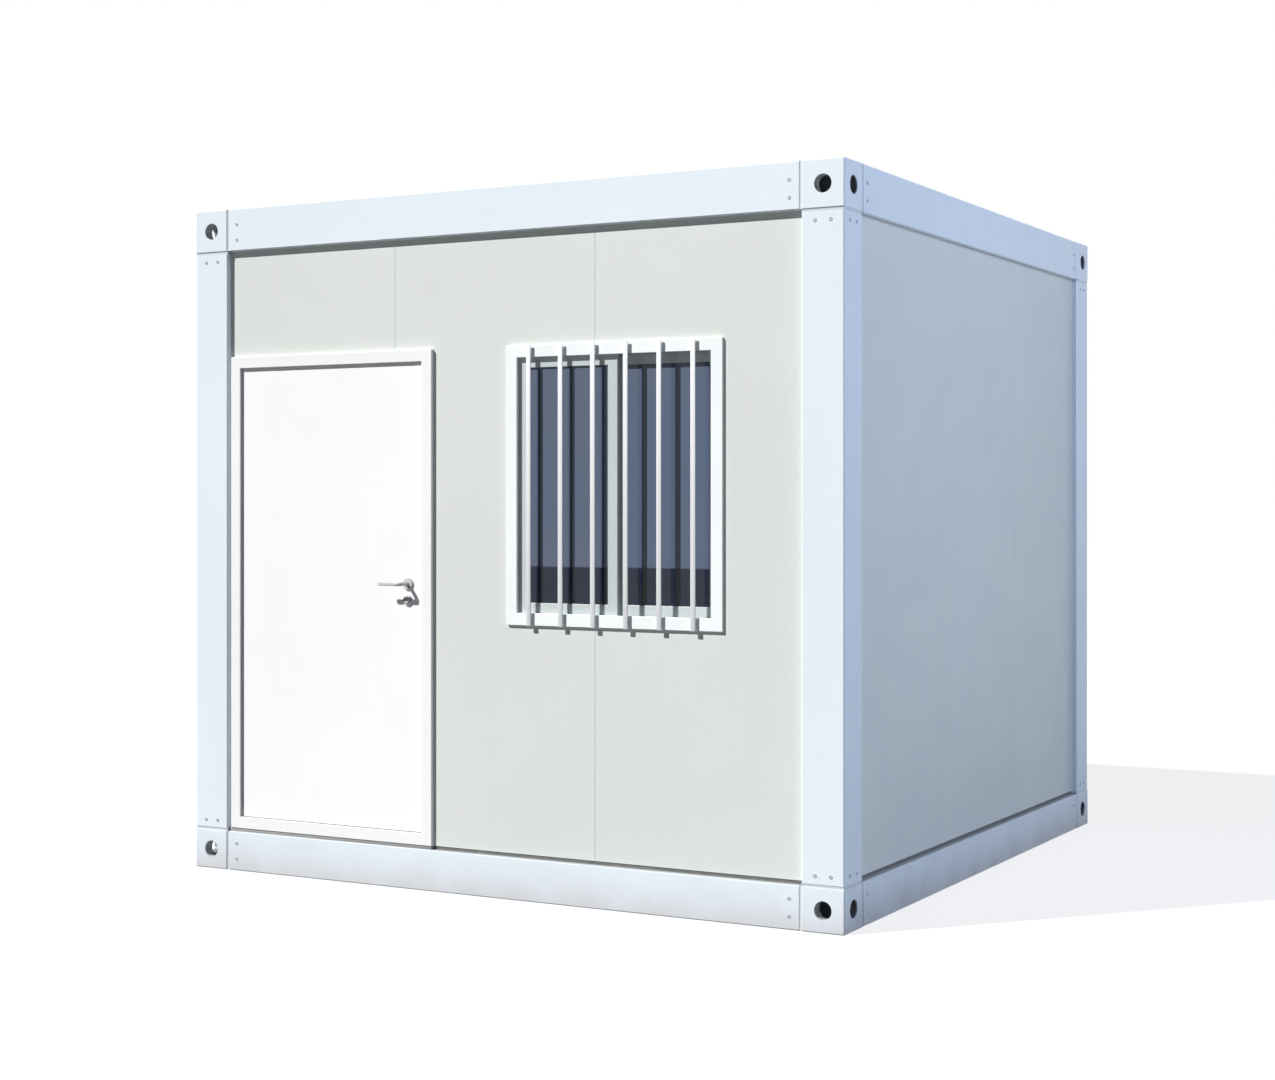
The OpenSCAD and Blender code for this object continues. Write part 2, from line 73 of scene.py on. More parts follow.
# Light: a key from the front left, a cool fill on the right, a weak one behind and a dim sky
KEY_AT = (-6, -8, 10)
KEY_TRAVEL = (0.85, 1.0, -1.22)
KEY_STRENGTH = 5.35
KEY_ANGLE = 1.2
KEY_COLOUR = (1.0, 0.99, 0.97)
SKY_COLOUR = (0.055, 0.066, 0.09)
RIGHT_FILL_AT = (7.6, -0.6, 3.9)
RIGHT_FILL_TRAVEL = (-1, 0, -0.2)
RIGHT_FILL_SIZE = (3.0, 3.6)
RIGHT_FILL_W = 306
RIGHT_FILL_COLOUR = (0.55, 0.69, 0.945)
REAR_FILL_AT = (-1.5, 10.5, 3.6)
REAR_FILL_TRAVEL = (0.1, -1, -0.24)
REAR_FILL_SIZE = (7.0, 5.0)
REAR_FILL_W = 280
REAR_FILL_COLOUR = (0.86, 0.92, 1.0)

# Floor: its tone as a reflector, its tone where it is seen, and how far the shadow is faded
FLOOR_TONE = 0.14
FLOOR_SEEN_TONE = 0.96
FLOOR_FADE = 0.8
FLOOR_HALF = 60.0

# Steel frame: paint, bare zinc end plates and hollow blocks
FRAME_COLOUR = (0.74, 0.812, 0.875)
END_PLATE_T = 10 * MM
END_PLATE_SLACK = 0.2 * MM
END_PLATE_ZINC = ((0.52, 0.56, 0.60), (0.61, 0.65, 0.69))
BLOCK_WALL = 45 * MM
BLOCK_INNER_WALL = 10 * MM
BLOCK_CAP = 12 * MM
PAINTED_RIM = 4.5 * MM
BORE_EDGE = 1 * MM
# Inside the blocks: grey primer darkened as painted shade, lighter in the front and rear bores as painted light,
# darker in the side bores as painted shade
HOLLOW_SHADED_PRIMER_COLOUR = (0.34, 0.36, 0.37)
FRONT_BORE_PAINTED_LIGHT_COLOUR = (0.50, 0.52, 0.53)
SIDE_BORE_PAINTED_SHADE_COLOUR = (0.17, 0.17, 0.20)

# Darkening of the steel frame towards the ground and on the top edge of the base, with painted shade at the foot
# of the side faces
FOOT_DARKENING_TOP = 175 * MM
FOOT_DARKENING_UNEVEN = 25 * MM
FOOT_DARKENING_SHARE = 0.8
FOOT_DARKENING_POWER = 1.6
FOOT_DARKENING_COLOUR = (0.52, 0.52, 0.54)
SIDE_SKIN = 3 * MM
SIDE_PAINTED_SHADE_SHARE = 0.75
SIDE_PAINTED_SHADE_COLOUR = (0.30, 0.32, 0.36)
LEDGE_EDGE = 4 * MM
LEDGE_SKIN = 0.2 * MM
LEDGE_EDGE_COLOUR = (0.53, 0.565, 0.595)
LEDGE_COLOUR = (0.43, 0.46, 0.48)

# Wall panels: upright profile of the rolled sheets
PROFILE_PITCH = 50 * MM
PROFILE_DEPTH = 0.12 * MM

# Floor boards
BOARD_LENGTH = 1.2
BOARD_WIDTH = 0.19
BOARD_JOINT = 1.2 * MM

# Bolt heads on posts and beams
BOLT_R = 7.5 * MM
BOLT_H = 1.9 * MM
BOLT_RIM = 0.8 * MM
BOLT_STEPS = 16
BEAM_BOLT_INSET = 50 * MM
BEAM_BOLT_HALF = 32.5 * MM
ROOF_BOLT_DROP = 10 * MM
POST_BOLT_HALF = 31 * MM
POST_BOLT_INSET = 41 * MM

# Screws in the roof sheet
ROOF_SCREW_R = 8 * MM
ROOF_SCREW_HEAD_R = 5.28 * MM
ROOF_SCREW_H = 6 * MM
WASHER_T = 1.5 * MM
ROOF_SHEET_T = 3 * MM
ROOF_EDGE = 160 * MM
RIB_PITCH = 250 * MM
PURLIN_PITCH = 420 * MM
HEXAGON = 6

# Flat bars in front of the window, and the pegs that hold them
BAR_COUNT = 6
BAR_PITCH = 144 * MM
BAR_SHIFT = -3.5 * MM
BAR_W = 20 * MM
BAR_T = 4.5 * MM
BAR_EDGE = 0.8 * MM
BAR_STAND_OFF = 9.5 * MM
BAR_PAST_TRIM = 0.5 * MM
PEG_R = 6 * MM
TRIM_W = 48 * MM

# Panes: depth in the sashes, rubber beads and the dark strip along the foot, which is a painted reflection
PANE_IN = 7.5 * MM
BEAD_W = 3.5 * MM
BEAD_T = 1.5 * MM
PANE_REFLECTION_TOP = 1.307
PANE_REFLECTION_EDGE = 3 * MM

# Lever handle
LEVER_R = 8 * MM
LEVER_BEND = 14 * MM
LEVER_LENGTH = 106 * MM
LEVER_REACH = 60.9 * MM
LEVER_STEPS = 24
BEND_STEPS = 8
# Flat grip: half depth, half height and how square its section is
GRIP_HALF_T = 4 * MM
GRIP_HALF_H = 8 * MM
GRIP_POWER = 5
GRIP_START = 0.18
# Share of the grip's length, then scale in depth and in height
GRIP_RINGS = ((0.74, 1.0, 0.97), (0.05, 0.85, 0.9), (0.03, 0.5, 0.6))

# Roses, lock cylinder and its inner turn knob
ROSE_R = 25 * MM
ROSE_T = 8 * MM
ROSE_EDGE = 3 * MM
ROSE_LIP = 1 * MM
ROSE_SIDE_H = 4.4 * MM
ROSE_LIP_H = 6.4 * MM
ROSE_CLEARANCE = 0.4 * MM
COLLAR_W = 2 * MM
COLLAR_H = 1.5 * MM
LOCK_ROSE_R = 22 * MM
LOCK_R = 11 * MM
LOCK_OUT = 5 * MM
LOCK_EDGE = 0.8 * MM
LOCK_DROP = 67 * MM
KNOB_HALF = 14 * MM
KNOB_HALF_T = 3 * MM
KNOB_IN = 1 * MM
KNOB_EDGE = 1.5 * MM
KEY_SLOT_HALF_W = 1.2 * MM
KEY_SLOT_HALF_H = 4.5 * MM
KEY_SLOT_OUT = 0.2 * MM
KEY_SLOT_IN = 1 * MM
KEY_SLOT_EDGE = 0.15 * MM
LATHE_STEPS = 40

# Latch and strike plates
LATCH_PLATE_HALF_W = 11 * MM
LATCH_PLATE_UP = 60 * MM
LATCH_PLATE_DOWN = 150 * MM
LATCH_PLATE_IN = 1 * MM
LATCH_PLATE_OUT = 0.8 * MM
LATCH_PLATE_EDGE = 0.3 * MM
LATCH_HALF_W = 7 * MM
LATCH_HALF_H = 14 * MM
LATCH_OUT = 3.5 * MM
LATCH_EDGE = 1.2 * MM
DOOR_GAP = 7 * MM
STRIKE_HALF_W = 12 * MM
STRIKE_HALF_H = 80 * MM
STRIKE_RIM = 6 * MM
STRIKE_T = 1 * MM

# Door gasket, with a strip that shows at its foot, and the strip under the door frame
GASKET_W = 8 * MM
GASKET_T = 4 * MM
GASKET_IN = 1.5 * MM
DOOR_STOP_GAP = 5 * MM
DOOR_LIP_OVERLAP = 11 * MM
FOOT_SEAL_SHOWS = 2 * MM
FOOT_SEAL_H = 4 * MM
FOOT_SEAL_EDGE = 0.4 * MM
SILL_IN = 2 * MM
SILL_BACK = 3.5 * MM
SILL_EDGE = 0.8 * MM

# Screws in the door hinges
HINGE_END = 220 * MM
HINGE_PLATE_T = 3 * MM
HINGE_SCREW_X = 20 * MM
HINGE_SCREW_R = 3.6 * MM
HINGE_SCREW_H = 1.4 * MM
HINGE_SCREW_RIM = 0.5 * MM
FRAME_SCREW_HALF = 34 * MM
LEAF_SCREW_HALF = 10 * MM

# Rounded edges of the door and the window
FRAME_ROUND = 1.5 * MM
LEAF_ROUND = 1.2 * MM
ROUND_STEPS = 2
ROUND_FROM_TURN = 40.0
FLAT_TO_TURN = 1.0
WELD_CLOSE = 0.01 * MM

# Nodes whose finish differs from that of their material slot
SASHES = ("window_sash_left", "window_sash_right")
OWN_FINISHES = {
    "door_frame": "door_frame_paint",
    **{sash: "sash_plastic" for sash in SASHES},
}


def joint_place(name):
    """A point on the axis of a joint."""
    for joint in frame["joints"]:
        if joint["name"] == name:
            return Vector(joint["pos_m"])
    raise KeyError(name)


def rgba(colour):
    """A colour with its alpha, or a socket as it is."""
    if isinstance(colour, bpy.types.NodeSocket) or len(colour) == 4:
        return colour
    return (*colour, 1.0)


def shade(colour, factor):
    """A colour made darker or lighter."""
    return tuple(c * factor for c in colour)


class Finish:
    """A material that is put together node by node on Object coordinates."""

    def __init__(self, name):
        self.material = bpy.data.materials.new(name)
        self.material.use_nodes = True
        self.tree = self.material.node_tree
        self.shader = self.tree.nodes["Principled BSDF"]
        self.place = self.add("ShaderNodeTexCoord").outputs["Object"]

    def add(self, kind, **settings):
        """A new node with its settings."""
        node = self.tree.nodes.new(kind)
        for name, value in settings.items():
            setattr(node, name, value)
        return node

    def feed(self, socket, value):
        """Links an output to a socket, or sets the socket's value."""
        if isinstance(value, bpy.types.NodeSocket):
            self.tree.links.new(value, socket)
        else:
            socket.default_value = value

    def set(self, **values):
        """Values and links of the shader's sockets, named with underscores for spaces."""
        for name, value in values.items():
            self.feed(self.shader.inputs[name.replace("_", " ")], value)

    def stretched(self, scale, turn=(0, 0, 0)):
        """Object coordinates, turned and stretched."""
        node = self.add("ShaderNodeMapping")
        self.feed(node.inputs["Vector"], self.place)
        node.inputs["Rotation"].default_value = turn
        node.inputs["Scale"].default_value = scale
        return node.outputs["Vector"]

    def noise(self, scale, detail=2.0, rough=0.5, place=None):
        """Soft noise from 0 to 1."""
        node = self.add("ShaderNodeTexNoise")
        self.feed(node.inputs["Vector"], place or self.place)
        node.inputs["Scale"].default_value = scale
        node.inputs["Detail"].default_value = detail
        node.inputs["Roughness"].default_value = rough
        return node.outputs["Fac"]

    def crystals(self, size):
        """A level from 0 to 1 for each crystal of a Voronoi pattern."""
        cells = self.add("ShaderNodeTexVoronoi")
        self.feed(cells.inputs["Vector"], self.place)
        cells.inputs["Scale"].default_value = 1.0 / size
        level = self.add("ShaderNodeSeparateColor")
        self.feed(level.inputs[0], cells.outputs["Color"])
        return level.outputs[0]

    def span(self, value, low, high, start=0.0, end=1.0):
        """A value from low to high brought to start to end, and held there."""
        node = self.add("ShaderNodeMapRange")
        self.feed(node.inputs["Value"], value)
        node.inputs["From Min"].default_value = low
        node.inputs["From Max"].default_value = high
        node.inputs["To Min"].default_value = start
        node.inputs["To Max"].default_value = end
        return node.outputs["Result"]

    def math(self, operation, *values):
        """One sum on its values."""
        node = self.add("ShaderNodeMath", operation=operation)
        for socket, value in zip(node.inputs, values):
            self.feed(socket, value)
        return node.outputs[0]

    def between(self, value, low, high):
        """1 where a value lies between two limits, and 0 elsewhere."""
        return self.math("COMPARE", value, (low + high) / 2, (high - low) / 2)

    def largest(self, first, *others):
        """The largest of several values, so 1 where one of several masks is 1."""
        for other in others:
            first = self.math("MAXIMUM", first, other)
        return first

    def axis(self, name):
        """One Object coordinate."""
        node = self.add("ShaderNodeSeparateXYZ")
        self.feed(node.inputs[0], self.place)
        return node.outputs[name]

    def from_middle(self, name):
        """Distance from the middle of the house along one axis."""
        return self.math("ABSOLUTE", self.axis(name))

    def blend(self, share, first, second):
        """From the first colour to the second by a share."""
        node = self.add("ShaderNodeMix", data_type="RGBA")
        self.feed(node.inputs["Factor"], share)
        self.feed(node.inputs["A"], rgba(first))
        self.feed(node.inputs["B"], rgba(second))
        return node.outputs["Result"]

    def bump(self, height, depth, under=None):
        """Surface normal from a height of 0 to 1 that stands for a real depth."""
        node = self.add("ShaderNodeBump")
        self.feed(node.inputs["Height"], height)
        node.inputs["Distance"].default_value = depth
        if under is not None:
            self.feed(node.inputs["Normal"], under)
        return node.outputs["Normal"]


def paint_coat(finish, colour, rough, sheet_wave):
    """Colour and surface of sprayed paint: slow tone, rain streaks, orange peel and the sheet's wave."""
    tone = finish.span(finish.noise(1.3, 3.0), 0.35, 0.65)
    streaks = finish.noise(1.0, 3.0, 0.6, finish.stretched((26, 26, 0.8)))
    cloudy = finish.blend(tone, colour, shade(colour, 0.972))
    painted = finish.blend(finish.span(streaks, 0.55, 0.8, 0.0, 0.1), cloudy, shade(colour, 0.8))
    finish.set(Roughness=finish.span(finish.noise(7.0, 4.0), 0.3, 0.7, rough - 0.05, rough + 0.06))
    wave = finish.bump(finish.noise(2.2, 1.0), sheet_wave)
    return painted, finish.bump(finish.noise(520.0, 2.0), 0.05 * MM, wave)


def plain_paint(name, colour, rough, sheet_wave):
    """Sprayed paint and nothing else."""
    finish = Finish(name)
    painted, surface = paint_coat(finish, colour, rough, sheet_wave)
    finish.set(Base_Color=painted, Normal=surface)
    return finish.material


def wall_paint(name, colour):
    """Paint on panel sheets that are rolled with a shallow upright profile."""
    finish = Finish(name)
    painted, surface = paint_coat(finish, colour, 0.42, 0.6 * MM)
    along = finish.math("ADD", finish.axis("X"), finish.axis("Y"))
    profile = finish.math("SINE", finish.math("MULTIPLY", along, math.tau / PROFILE_PITCH))
    finish.set(Base_Color=painted)
    finish.set(Normal=finish.bump(finish.span(profile, -1.0, 1.0), PROFILE_DEPTH, surface))
    return finish.material


def frame_foot_darkening_and_painted_shade(finish, painted):
    """Frame paint darker towards the ground and on the base's top edge, with painted shade at the foot of the
    sides.
    """
    z = finish.axis("Z")
    base_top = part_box("post_front_right")[0].z
    side_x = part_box("roof_block_front_right")[1].x
    # Darker towards the ground, unevenly, and darker on the top edge and ledge of the base
    uneven = finish.span(finish.noise(6.0, 4.0), 0.3, 0.7, -FOOT_DARKENING_UNEVEN, FOOT_DARKENING_UNEVEN)
    foot_darkening = finish.span(finish.math("ADD", z, uneven), 0.0, FOOT_DARKENING_TOP, FOOT_DARKENING_SHARE, 0.0)
    foot_darkening = finish.math("POWER", foot_darkening, FOOT_DARKENING_POWER)
    toned = finish.blend(foot_darkening, painted, FOOT_DARKENING_COLOUR)
    # Painted shade: the foot of the side faces is made darker still
    sides = finish.between(finish.from_middle("X"), side_x - SIDE_SKIN, side_x + SIDE_SKIN)
    side_painted_shade = finish.math("MULTIPLY", finish.math("MULTIPLY", foot_darkening, sides), SIDE_PAINTED_SHADE_SHARE)
    toned = finish.blend(side_painted_shade, toned, SIDE_PAINTED_SHADE_COLOUR)
    edge = finish.between(z, base_top - LEDGE_EDGE, base_top - LEDGE_SKIN)
    toned = finish.blend(edge, toned, LEDGE_EDGE_COLOUR)
    ledge = finish.between(z, base_top - LEDGE_SKIN, base_top + LEDGE_SKIN)
    return finish.blend(ledge, toned, LEDGE_COLOUR)


def end_plates(finish):
    """1 on the plates that close the ends of beams and posts, and 0 elsewhere."""
    post_low, post_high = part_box("post_front_right")
    beam_end = (post_low.x - END_PLATE_T + END_PLATE_SLACK, post_low.x - END_PLATE_SLACK)
    foot = (post_low.z + END_PLATE_SLACK, post_low.z + END_PLATE_T - END_PLATE_SLACK)
    head = (post_high.z - END_PLATE_T + END_PLATE_SLACK, post_high.z - END_PLATE_SLACK)
    return finish.largest(
        finish.between(finish.from_middle("X"), *beam_end),
        finish.between(finish.from_middle("Y"), *beam_end),
        finish.between(finish.axis("Z"), *foot),
        finish.between(finish.axis("Z"), *head),
    )


def block_hollows(finish):
    """1 inside the hollow corner blocks and their bores, and 0 elsewhere."""
    block_low, block_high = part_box("roof_block_front_right")
    base_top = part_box("post_front_right")[0].z
    hollow = (block_low.x + BLOCK_INNER_WALL / 2, block_high.x - PAINTED_RIM)
    across = finish.math(
        "MULTIPLY", finish.between(finish.from_middle("X"), *hollow),
        finish.between(finish.from_middle("Y"), *hollow),
    )
    z = finish.axis("Z")
    levels = finish.largest(
        finish.between(z, BLOCK_CAP / 2, base_top - BLOCK_CAP / 2),
        finish.between(z, block_low.z + BLOCK_CAP / 2, block_high.z - BLOCK_CAP / 2),
    )
    return finish.math("MULTIPLY", across, levels)


def block_primer_and_painted_light(finish):
    """Primer with painted shade in the blocks, painted light in the front and rear bores, darker painted shade in
    the side bores.
    """
    bore_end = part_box("roof_block_front_right")[1].x - BLOCK_WALL
    step = (bore_end - BORE_EDGE, bore_end + BORE_EDGE)
    front_bore = finish.span(finish.from_middle("Y"), *step)
    side_bore = finish.span(finish.from_middle("X"), *step)
    shaded_primer = finish.blend(front_bore, HOLLOW_SHADED_PRIMER_COLOUR, FRONT_BORE_PAINTED_LIGHT_COLOUR)
    return finish.blend(side_bore, shaded_primer, SIDE_BORE_PAINTED_SHADE_COLOUR)


def frame_paint():
    """Cool white frame paint: darker at its foot, painted shade on the sides, bare end plates, painted shade and
    light in blocks.
    """
    finish = Finish("frame_paint")
    painted, surface = paint_coat(finish, FRAME_COLOUR, 0.36, 0.25 * MM)
    zinc = finish.blend(finish.noise(40.0, 3.0), *END_PLATE_ZINC)
    outside = finish.blend(end_plates(finish), frame_foot_darkening_and_painted_shade(finish, painted), zinc)
    finish.set(Base_Color=finish.blend(block_hollows(finish), outside, block_primer_and_painted_light(finish)))
    finish.set(Normal=surface)
    return finish.material


def window_plastic(name, colour):
    """Smooth moulded plastic of the window."""
    finish = Finish(name)
    tone = finish.span(finish.noise(3.0, 2.0), 0.35, 0.65)
    finish.set(Base_Color=finish.blend(tone, colour, shade(colour, 0.97)))
    finish.set(Roughness=finish.span(finish.noise(30.0, 3.0), 0.3, 0.7, 0.26, 0.34))
    finish.set(Normal=finish.bump(finish.noise(90.0, 2.0), 0.008 * MM))
    return finish.material


def bar_paint():
    """White powder coat of the window bars."""
    finish = Finish("bar_paint")
    colour = (0.75, 0.765, 0.785)
    tone = finish.noise(9.0, 3.0)
    finish.set(Base_Color=finish.blend(finish.span(tone, 0.3, 0.7), colour, shade(colour, 0.95)))
    finish.set(Roughness=finish.span(tone, 0.3, 0.7, 0.34, 0.46))
    finish.set(Normal=finish.bump(finish.noise(900.0, 2.0), 0.02 * MM))
    return finish.material


def galvanised_steel(name, colour, spangle):
    """Zinc coated steel with its crystal spangle."""
    finish = Finish(name)
    flake = finish.crystals(spangle)
    bloom = finish.span(finish.noise(5.0, 4.0), 0.45, 0.7)
    spangled = finish.blend(flake, shade(colour, 0.86), colour)
    finish.set(Base_Color=finish.blend(bloom, spangled, shade(colour, 1.12)))
    finish.set(Metallic=0.85)
    finish.set(Roughness=finish.span(flake, 0.0, 1.0, 0.34, 0.55))
    finish.set(Normal=finish.bump(finish.noise(300.0, 2.0), 0.04 * MM))
    return finish.material


def brushed_metal(name, colour, metallic, rough, stretch):
    """Metal that was brushed along one axis."""
    finish = Finish(name)
    lines = finish.noise(1.0, 3.0, 0.6, finish.stretched(stretch))
    finish.set(Base_Color=finish.blend(lines, shade(colour, 0.88), shade(colour, 1.06)))
    finish.set(Metallic=metallic, Specular_IOR_Level=0.25)
    finish.set(Roughness=finish.span(lines, 0.25, 0.75, rough - 0.06, rough + 0.1))
    finish.set(Normal=finish.bump(lines, 0.02 * MM))
    return finish.material


def zinc_plate():
    """Dull grey zinc of the bolt and screw heads."""
    finish = Finish("bolt_zinc")
    tone = finish.noise(160.0, 3.0)
    finish.set(Base_Color=finish.blend(tone, (0.36, 0.40, 0.44), (0.50, 0.54, 0.58)))
    finish.set(Metallic=0.25)
    finish.set(Roughness=finish.span(tone, 0.3, 0.7, 0.42, 0.58))
    finish.set(Normal=finish.bump(finish.noise(700.0, 2.0), 0.03 * MM))
    return finish.material


def floor_laminate():
    """Grey brown floor boards with grain along Y and narrow joints."""
    finish = Finish("floor_board")
    boards = finish.add("ShaderNodeTexBrick", offset=0.37)
    finish.feed(boards.inputs["Vector"], finish.stretched((1, 1, 1), (0, 0, math.pi / 2)))
    settings = {
        "Color1": (0.20, 0.175, 0.145, 1),
        "Color2": (0.27, 0.24, 0.20, 1),
        "Mortar": (0.05, 0.045, 0.04, 1),
        "Scale": 1.0,
        "Mortar Size": BOARD_JOINT,
        "Brick Width": BOARD_LENGTH,
        "Row Height": BOARD_WIDTH,
    }
    for name, value in settings.items():
        boards.inputs[name].default_value = value
    grain = finish.noise(1.0, 6.0, 0.65, finish.stretched((60, 3, 3)))
    dark = finish.span(grain, 0.42, 0.7, 0.0, 0.55)
    finish.set(Base_Color=finish.blend(dark, boards.outputs["Color"], (0.11, 0.09, 0.07)))
    finish.set(Roughness=finish.span(grain, 0.3, 0.7, 0.42, 0.58))
    joints = finish.math("SUBTRACT", 1.0, boards.outputs["Fac"])
    finish.set(Normal=finish.bump(grain, 0.1 * MM, finish.bump(joints, 0.6 * MM)))
    return finish.material


def seal_rubber(name, dark, toned):
    """Rubber with dust on it."""
    finish = Finish(name)
    dust = finish.span(finish.noise(18.0, 5.0), 0.45, 0.8, 0.0, 0.5)
    finish.set(Base_Color=finish.blend(dust, (dark, dark, dark * 1.03), (toned, toned, toned)))
    finish.set(Roughness=finish.span(dust, 0.0, 0.5, 0.62, 0.85))
    finish.set(Normal=finish.bump(finish.noise(400.0, 2.0), 0.1 * MM))
    return finish.material


def window_glass():
    """Blue grey tinted glass with a darker strip along its foot, which is a painted reflection."""
    finish = Finish("window_glass")
    tint = finish.blend(finish.noise(2.5, 1.0), (0.108, 0.16, 0.255), (0.15, 0.17, 0.245))
    # Painted reflection: a dark strip along the foot of the panes
    low = PANE_REFLECTION_TOP - PANE_REFLECTION_EDGE
    high = PANE_REFLECTION_TOP + PANE_REFLECTION_EDGE
    strip = finish.span(finish.axis("Z"), low, high, 1.0, 0.0)
    finish.set(Base_Color=finish.blend(strip, tint, (0.024, 0.031, 0.054)))
    finish.set(Roughness=finish.span(finish.noise(60.0, 3.0), 0.3, 0.7, 0.03, 0.07))
    finish.set(Transmission_Weight=0.3, IOR=1.45, Specular_IOR_Level=0.3)
    return finish.material


def make_piece(bm, name, finish, body, sharp_turn=SHARP_TURN):
    """Turns a bmesh into a named piece that rides on a body."""
    bmesh.ops.remove_doubles(bm, verts=bm.verts[:], dist=CLOSE)
    bmesh.ops.recalc_face_normals(bm, faces=bm.faces[:])
    for face in bm.faces:
        face.smooth = True
    mesh = bpy.data.meshes.new(name)
    bm.to_mesh(mesh)
    bm.free()
    mesh.set_sharp_from_angle(angle=math.radians(sharp_turn))
    mesh.materials.append(finish)
    piece = bpy.data.objects.new(name, mesh)
    bpy.context.collection.objects.link(piece)
    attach(piece, body)
    return piece


def facing(point, outward):
    """A place at a point with its Z axis along outward."""
    turn = Vector(outward).to_track_quat("Z", "Y").to_matrix().to_4x4()
    return Matrix.Translation(point) @ turn


def lathe(outline, place=Matrix(), steps=LATHE_STEPS):
    """A round solid from (radius, height) points, turned about the local Z axis of a place."""
    bm = bmesh.new()
    verts = [bm.verts.new((r, 0, z)) for r, z in outline]
    pairs = list(zip(verts, verts[1:]))
    if outline[0][0] > 0:
        pairs.append((verts[-1], verts[0]))
    edges = [bm.edges.new(pair) for pair in pairs]
    bmesh.ops.spin(
        bm, geom=verts + edges, cent=(0, 0, 0), axis=(0, 0, 1), dvec=(0, 0, 0),
        angle=math.tau, steps=steps, use_merge=True, use_duplicate=False,
    )
    bmesh.ops.remove_doubles(bm, verts=bm.verts[:], dist=CLOSE)
    bmesh.ops.transform(bm, matrix=place, verts=bm.verts[:])
    return bm


def bevelled_box(bm, low, high, edge):
    """Adds a box between two corners with rounded edges."""
    low = Vector(low)
    high = Vector(high)
    place = Matrix.Translation((low + high) / 2) @ Matrix.Diagonal((*(high - low), 1))
    verts = bmesh.ops.create_cube(bm, size=1.0, matrix=place)["verts"]
    edges = {e for v in verts for e in v.link_edges}
    bmesh.ops.bevel(
        bm, geom=list(edges), offset=edge, affect="EDGES", segments=2, profile=0.5, material=-1,
    )


def upright_ring(bm, low, high, width, depth):
    """Adds a rectangular ring in an XZ plane, inside low and high, and depth thick along +Y."""
    corners = [(low.x, low.z), (high.x, low.z), (high.x, high.z), (low.x, high.z)]
    face = bm.faces.new([bm.verts.new((x, low.y, z)) for x, z in corners])
    ring = bmesh.ops.inset_individual(bm, faces=[face], thickness=width)["faces"]
    bmesh.ops.delete(bm, geom=[face], context="FACES_ONLY")
    pushed = bmesh.ops.extrude_face_region(bm, geom=ring)["geom"]
    verts = [v for v in pushed if isinstance(v, bmesh.types.BMVert)]
    bmesh.ops.translate(bm, vec=(0, depth, 0), verts=verts)


def push_ring(bm, edges, step, scale=(1, 1, 1)):
    """Extrudes a ring of edges by a step, scales the new ring about its middle and returns its edges."""
    pushed = bmesh.ops.extrude_edge_only(bm, edges=edges)["geom"]
    verts = [v for v in pushed if isinstance(v, bmesh.types.BMVert)]
    bmesh.ops.translate(bm, vec=step, verts=verts)
    middle = sum((v.co for v in verts), Vector()) / len(verts)
    bmesh.ops.scale(bm, vec=scale, space=Matrix.Translation(-middle), verts=verts)
    return [e for e in pushed if isinstance(e, bmesh.types.BMEdge)]


def flatten_ring(edges, half_y, half_z, power):
    """Brings a round ring in a YZ plane to a rectangle with round corners."""
    verts = {v for e in edges for v in e.verts}
    middle = sum((v.co for v in verts), Vector()) / len(verts)
    for v in verts:
        y = v.co.y - middle.y
        z = v.co.z - middle.z
        reach = (abs(y) ** power + abs(z) ** power) ** (1 / power)
        v.co.y = middle.y + half_y * y / reach
        v.co.z = middle.z + half_z * z / reach


def join(bm, other):
    """Adds a second bmesh to the first."""
    mesh = bpy.data.meshes.new("joined")
    other.to_mesh(mesh)
    other.free()
    bm.from_mesh(mesh)
    bpy.data.meshes.remove(mesh)


def repeat(template, places):
    """A bmesh that holds a template at each of several places."""
    mesh = bpy.data.meshes.new("template")
    template.to_mesh(mesh)
    template.free()
    bm = bmesh.new()
    for place in places:
        start = len(bm.verts)
        bm.from_mesh(mesh)
        bm.verts.ensure_lookup_table()
        bmesh.ops.transform(bm, matrix=place, verts=bm.verts[start:])
    bpy.data.meshes.remove(mesh)
    return bm


def round_head(radius, height, rim):
    """Low round head with a socket, standing on the local XY plane."""
    socket_r = radius * 0.5
    socket_z = height * 0.4
    outline = [
        (0, 0), (radius, 0), (radius, height - rim), (radius - rim, height),
        (socket_r, height), (socket_r, socket_z), (0, socket_z),
    ]
    return lathe(outline, steps=BOLT_STEPS)


def frame_bolts(finish):
    """Pairs of bolts at the ends of the beams and posts, the same on all four sides."""
    points = []
    for beam, drop in (("base_beam_front", 0.0), ("roof_beam_front", ROOF_BOLT_DROP)):
        low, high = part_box(beam)
        middle = (low.z + high.z) / 2 - drop
        for x in (low.x + BEAM_BOLT_INSET, high.x - BEAM_BOLT_INSET):
            for z in (middle - BEAM_BOLT_HALF, middle + BEAM_BOLT_HALF):
                points.append(Vector((x, low.y, z)))
    for post in ("post_front_left", "post_front_right"):
        low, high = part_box(post)
        middle = (low.x + high.x) / 2
        for z in (low.z + POST_BOLT_INSET, high.z - POST_BOLT_INSET):
            for x in (middle - POST_BOLT_HALF, middle + POST_BOLT_HALF):
                points.append(Vector((x, low.y, z)))
    places = []
    for quarter in range(4):
        turn = Matrix.Rotation(quarter * math.pi / 2, 4, "Z")
        places += [turn @ facing(point, (0, -1, 0)) for point in points]
    bolts = repeat(round_head(BOLT_R, BOLT_H, BOLT_RIM), places)
    make_piece(bolts, "frame_bolts", finish, "house")


